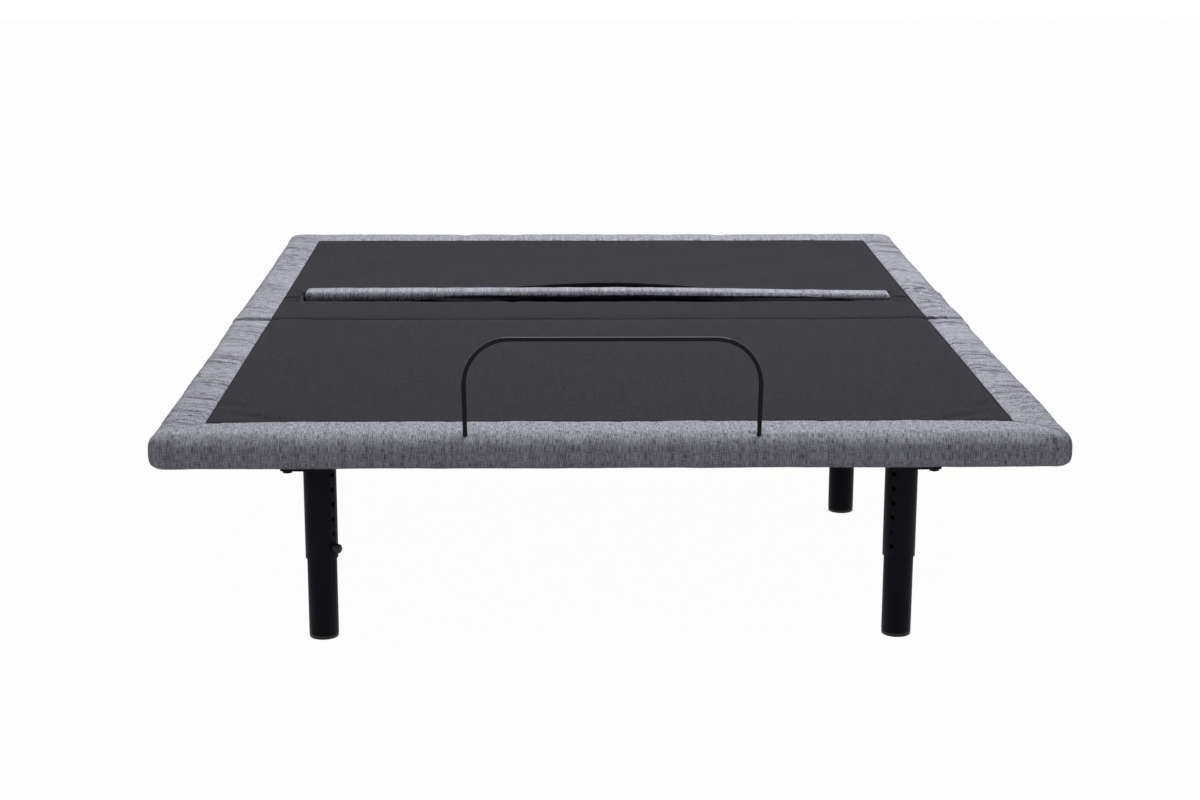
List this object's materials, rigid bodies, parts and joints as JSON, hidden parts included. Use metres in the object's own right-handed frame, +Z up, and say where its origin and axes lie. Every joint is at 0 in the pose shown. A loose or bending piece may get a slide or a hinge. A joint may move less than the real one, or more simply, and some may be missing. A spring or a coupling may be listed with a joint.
{
  "type": "adjustable bed base",
  "caption": "Adjustable bed base: four hinged upholstered deck sections on a steel frame with electric lifts, a lumbar bar, a mattress retainer and height-adjustable legs",
  "frame": {"origin": "on the floor under the middle of the bed", "axes": "+X to the right of someone standing at the foot end and looking at the bed, +Y to the head end, +Z up"},
  "size_m": [1.52, 2.03, 0.5263],
  "materials": {
    "black_steel": "satin",
    "zinc": "satin",
    "black_plastic": "matte",
    "plywood": "matte",
    "grey_linen": "matte",
    "black_cloth": "matte"
  },
  "bodies": {
    "base": {"foot_half_frame": "black_steel", "head_half_frame": "black_steel", "frame_bolt_left": "zinc", "frame_bolt_right": "zinc", "seat_board": "plywood", "seat_pad": "black_cloth", "seat_border_left": "grey_linen", "seat_border_right": "grey_linen", "hip_bolt_left": "zinc", "hip_bolt_right": "zinc", "seam_bolt_left": "zinc", "seam_bolt_right": "zinc", "control_box": "black_plastic", "head_actuator_pin": "zinc", "foot_actuator_pin": "zinc", "foot_left_leg_sleeve": "black_steel", "foot_right_leg_sleeve": "black_steel", "middle_left_leg_sleeve": "black_steel", "middle_right_leg_sleeve": "black_steel", "head_left_leg_sleeve": "black_steel", "head_right_leg_sleeve": "black_steel"},
    "head_section": {"head_board": "plywood", "head_pad": "black_cloth", "head_border": "grey_linen", "head_lifting_frame": "black_steel", "lumbar_actuator_pin": "zinc"},
    "lumbar_lift": {"lumbar_lift_frame": "black_steel", "lumbar_pad": "grey_linen"},
    "thigh_section": {"thigh_board": "plywood", "thigh_pad": "black_cloth", "thigh_border_left": "grey_linen", "thigh_border_right": "grey_linen", "thigh_lifting_frame": "black_steel", "knee_bolt_left": "zinc", "knee_bolt_right": "zinc"},
    "calf_section": {"calf_board": "plywood", "calf_pad": "black_cloth", "calf_border": "grey_linen", "calf_lifting_frame": "black_steel", "retainer_bar": "black_steel"},
    "calf_stay_left": {"calf_stay_left": "black_steel"},
    "calf_stay_right": {"calf_stay_right": "black_steel"},
    "head_actuator": {"head_actuator_body": "black_plastic"},
    "head_actuator_rod": {"head_actuator_rod": "zinc"},
    "foot_actuator": {"foot_actuator_body": "black_plastic"},
    "foot_actuator_rod": {"foot_actuator_rod": "zinc"},
    "lumbar_actuator": {"lumbar_actuator_body": "black_plastic"},
    "lumbar_actuator_rod": {"lumbar_actuator_rod": "zinc"},
    "foot_left_leg": {"foot_left_leg_tube": "black_steel"},
    "foot_left_leg_screw": {"foot_left_leg_screw": "black_plastic"},
    "foot_right_leg": {"foot_right_leg_tube": "black_steel"},
    "foot_right_leg_screw": {"foot_right_leg_screw": "black_plastic"},
    "middle_left_leg": {"middle_left_leg_tube": "black_steel"},
    "middle_left_leg_screw": {"middle_left_leg_screw": "black_plastic"},
    "middle_right_leg": {"middle_right_leg_tube": "black_steel"},
    "middle_right_leg_screw": {"middle_right_leg_screw": "black_plastic"},
    "head_left_leg": {"head_left_leg_tube": "black_steel"},
    "head_left_leg_screw": {"head_left_leg_screw": "black_plastic"},
    "head_right_leg": {"head_right_leg_tube": "black_steel"},
    "head_right_leg_screw": {"head_right_leg_screw": "black_plastic"}
  },
  "joints": [
    {"name": "head_lift", "type": "hinge", "parent": "base", "child": "head_section", "pos_m": [0, 0.17, 0.344], "axis": [1, 0, 0], "range_deg": [0, 60]},
    {"name": "lumbar_lift", "type": "hinge", "parent": "head_section", "child": "lumbar_lift", "pos_m": [0, 0.48, 0.3], "axis": [-1, 0, 0], "range_deg": [0, 18]},
    {"name": "thigh_lift", "type": "hinge", "parent": "base", "child": "thigh_section", "pos_m": [0, -0.03, 0.344], "axis": [-1, 0, 0], "range_deg": [0, 35]},
    {"name": "calf_fold", "type": "hinge", "parent": "thigh_section", "child": "calf_section", "pos_m": [0, -0.49, 0.344], "axis": [1, 0, 0], "range_deg": [0, 42]},
    {"name": "calf_stay_left_turn", "type": "hinge", "parent": "base", "child": "calf_stay_left", "pos_m": [-0.455, -0.44, 0.324], "axis": [-1, 0, 0], "range_deg": [0, 40.56]},
    {"name": "calf_stay_right_turn", "type": "hinge", "parent": "base", "child": "calf_stay_right", "pos_m": [0.455, -0.44, 0.324], "axis": [-1, 0, 0], "range_deg": [0, 40.56]},
    {"name": "head_actuator_swing", "type": "hinge", "parent": "base", "child": "head_actuator", "pos_m": [-0.07, -0.13, 0.232], "axis": [1, 0, 0], "range_deg": [0, 6.36]},
    {"name": "head_actuator_stroke", "type": "slide", "parent": "head_actuator", "child": "head_actuator_rod", "axis": [0, 0.9998, -0.0221], "range_m": [0, 0.1143]},
    {"name": "foot_actuator_swing", "type": "hinge", "parent": "base", "child": "foot_actuator", "pos_m": [0.07, 0.26, 0.232], "axis": [1, 0, 0], "range_deg": [0, 1.92]},
    {"name": "foot_actuator_stroke", "type": "slide", "parent": "foot_actuator", "child": "foot_actuator_rod", "axis": [0, -0.9999, 0.0136], "range_m": [0, 0.0716]},
    {"name": "lumbar_actuator_swing", "type": "hinge", "parent": "head_section", "child": "lumbar_actuator", "pos_m": [0, 0.682, 0.221], "axis": [-1, 0, 0], "range_deg": [0, 0.01]},
    {"name": "lumbar_actuator_stroke", "type": "slide", "parent": "lumbar_actuator", "child": "lumbar_actuator_rod", "axis": [0, -1, -0.0001], "range_m": [0, 0.0251]},
    {"name": "foot_left_leg_height", "type": "slide", "parent": "base", "child": "foot_left_leg", "axis": [0, 0, 1], "range_m": [0, 0.127]},
    {"name": "foot_left_leg_screw_out", "type": "slide", "parent": "base", "child": "foot_left_leg_screw", "axis": [0.809, -0.5878, 0], "range_m": [0, 0.03]},
    {"name": "foot_right_leg_height", "type": "slide", "parent": "base", "child": "foot_right_leg", "axis": [0, 0, 1], "range_m": [0, 0.127]},
    {"name": "foot_right_leg_screw_out", "type": "slide", "parent": "base", "child": "foot_right_leg_screw", "axis": [0.5878, 0.809, 0], "range_m": [0, 0.03]},
    {"name": "middle_left_leg_height", "type": "slide", "parent": "base", "child": "middle_left_leg", "axis": [0, 0, 1], "range_m": [0, 0.127]},
    {"name": "middle_left_leg_screw_out", "type": "slide", "parent": "base", "child": "middle_left_leg_screw", "axis": [0.7071, -0.7071, 0], "range_m": [0, 0.03]},
    {"name": "middle_right_leg_height", "type": "slide", "parent": "base", "child": "middle_right_leg", "axis": [0, 0, 1], "range_m": [0, 0.127]},
    {"name": "middle_right_leg_screw_out", "type": "slide", "parent": "base", "child": "middle_right_leg_screw", "axis": [-0.7071, -0.7071, 0], "range_m": [0, 0.03]},
    {"name": "head_left_leg_height", "type": "slide", "parent": "base", "child": "head_left_leg", "axis": [0, 0, 1], "range_m": [0, 0.127]},
    {"name": "head_left_leg_screw_out", "type": "slide", "parent": "base", "child": "head_left_leg_screw", "axis": [0.7071, 0.7071, 0], "range_m": [0, 0.03]},
    {"name": "head_right_leg_height", "type": "slide", "parent": "base", "child": "head_right_leg", "axis": [0, 0, 1], "range_m": [0, 0.127]},
    {"name": "head_right_leg_screw_out", "type": "slide", "parent": "base", "child": "head_right_leg_screw", "axis": [-0.7071, 0.7071, 0], "range_m": [0, 0.03]}
  ],
  "couplings": [
    {"joint": "calf_fold", "follows": "thigh_lift", "ratio": 1.2},
    {"joint": "calf_stay_left_turn", "follows": "thigh_lift", "ratio": 1.1587},
    {"joint": "calf_stay_right_turn", "follows": "thigh_lift", "ratio": 1.1587},
    {"joint": "head_actuator_swing", "follows": "head_lift", "ratio": 0.10585},
    {"joint": "head_actuator_stroke", "follows": "head_lift", "m_per_rad": 0.10909},
    {"joint": "foot_actuator_swing", "follows": "thigh_lift", "ratio": 0.054712},
    {"joint": "foot_actuator_stroke", "follows": "thigh_lift", "m_per_rad": 0.1172},
    {"joint": "lumbar_actuator_swing", "follows": "lumbar_lift", "ratio": 0.00003},
    {"joint": "lumbar_actuator_stroke", "follows": "lumbar_lift", "m_per_rad": 0.079671}
  ]
}
